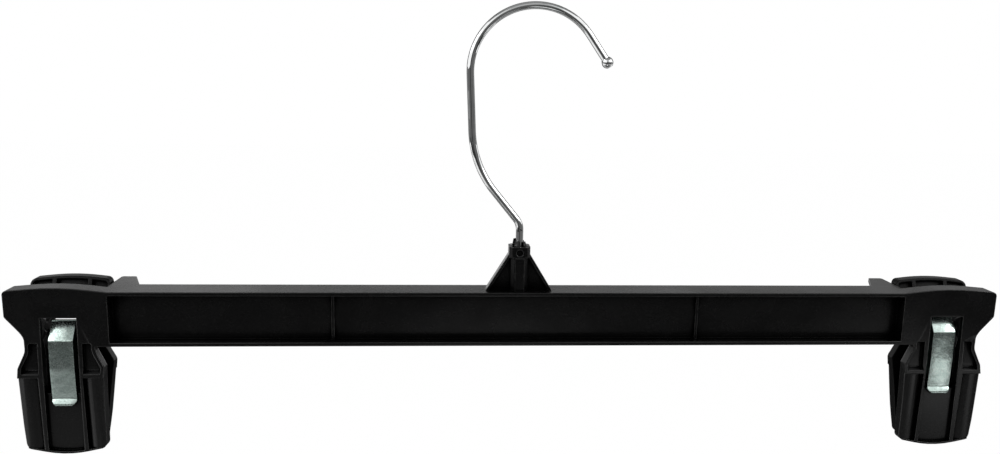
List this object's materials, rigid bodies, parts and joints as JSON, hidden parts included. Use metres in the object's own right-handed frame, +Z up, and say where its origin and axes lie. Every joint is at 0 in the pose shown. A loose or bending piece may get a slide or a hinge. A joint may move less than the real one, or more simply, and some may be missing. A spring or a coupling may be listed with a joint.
{
  "type": "skirt hanger",
  "caption": "Skirt hanger: a black moulded bar with a sprung pinch clip at each end and a bright wire hook that swivels in a central boss.",
  "frame": {"origin": "highest point inside the hook's crook, where a wardrobe rail bears", "axes": "+X along the bar towards the hook's open side, +Z up, front towards -Y"},
  "size_m": [0.3569, 0.0244, 0.1616],
  "materials": {
    "black_moulding": "satin moulded black",
    "spring_steel": "zinc-plated strip",
    "bright_wire": "polished plating"
  },
  "bodies": {
    "hook": {"swivel_hook": "bright_wire"},
    "bar": {"hanger_bar": "black_moulding", "left_clip_spring": "spring_steel", "right_clip_spring": "spring_steel"},
    "left_jaw": {"left_rear_jaw": "black_moulding"},
    "right_jaw": {"right_rear_jaw": "black_moulding"}
  },
  "joints": [
    {"name": "hook_swivel", "type": "hinge", "parent": "hook", "child": "bar", "pos_m": [-0.00435, 0, -0.09155], "axis": [0, 0, 1], "continuous": true},
    {"name": "left_pinch", "type": "hinge", "parent": "bar", "child": "left_jaw", "pos_m": [-0.165, 0, -0.11305], "axis": [1, 0, 0], "range_deg": [0, 20], "stiffness_Nm_per_rad": 0.5, "springref_deg": -28.65, "deforming": ["left_clip_spring"]},
    {"name": "right_pinch", "type": "hinge", "parent": "bar", "child": "right_jaw", "pos_m": [0.1556, 0, -0.11305], "axis": [1, 0, 0], "range_deg": [0, 20], "stiffness_Nm_per_rad": 0.5, "springref_deg": -28.65, "deforming": ["right_clip_spring"]}
  ]
}
